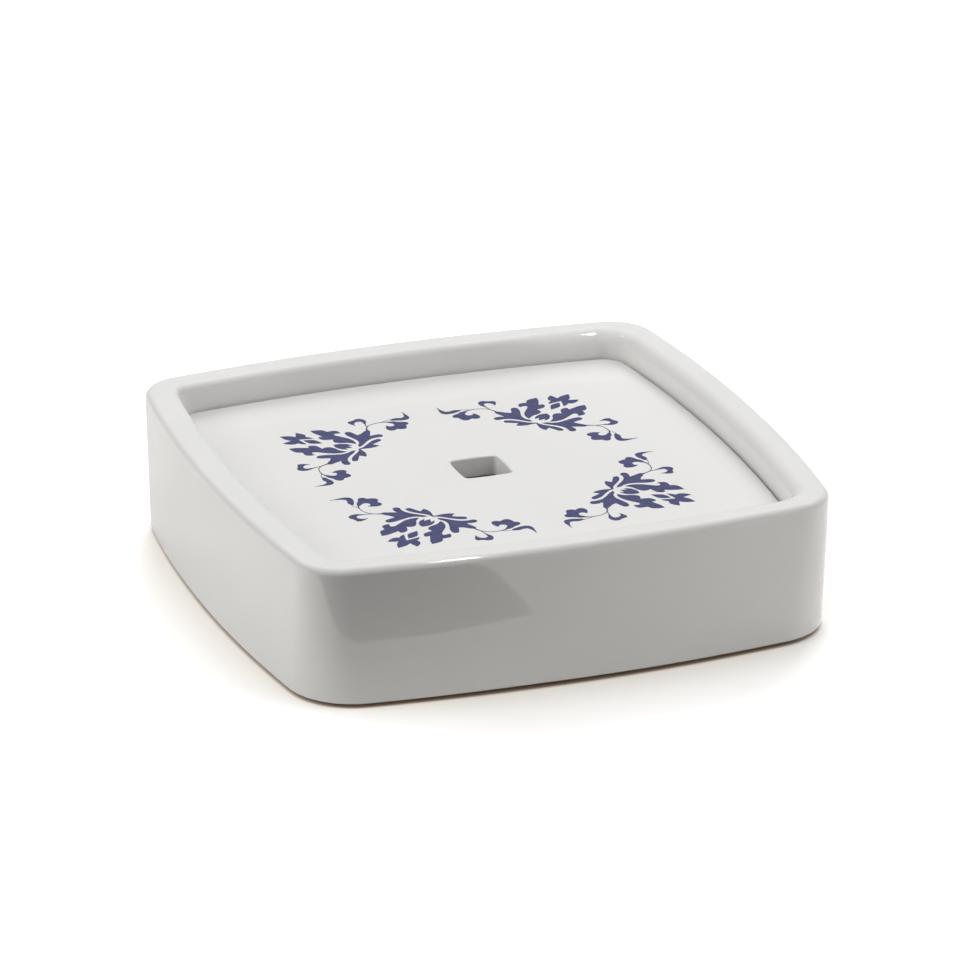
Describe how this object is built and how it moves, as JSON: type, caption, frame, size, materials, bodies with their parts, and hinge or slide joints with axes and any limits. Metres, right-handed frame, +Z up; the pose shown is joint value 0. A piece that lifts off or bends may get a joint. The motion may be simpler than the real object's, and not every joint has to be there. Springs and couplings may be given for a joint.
{
  "type": "soap dish",
  "caption": "Square glazed ceramic soap dish with sides that bow outward, a rounded rim and a well for water, under a loose lift-out plate with a square drain hole.",
  "frame": {"origin": "under the middle of the dish, on the surface that it stands on", "axes": "+Z up, along the line that the plate lifts on; X and Y square to the sides, all four of which are alike"},
  "size_m": [0.1206, 0.1206, 0.0302],
  "materials": {
    "dish_glaze": "white gloss glaze",
    "plate_glaze": "white gloss glaze",
    "ornament_blue": "cobalt blue print under the glaze",
    "foot_bare": "unglazed fired clay"
  },
  "bodies": {
    "dish": {"dish_body": "dish_glaze"},
    "plate": {"drain_plate": "plate_glaze"}
  },
  "joints": [
    {"name": "plate_lift", "type": "slide", "parent": "dish", "child": "plate", "axis": [0, 0, 1], "range_m": [0, 0.03]}
  ]
}
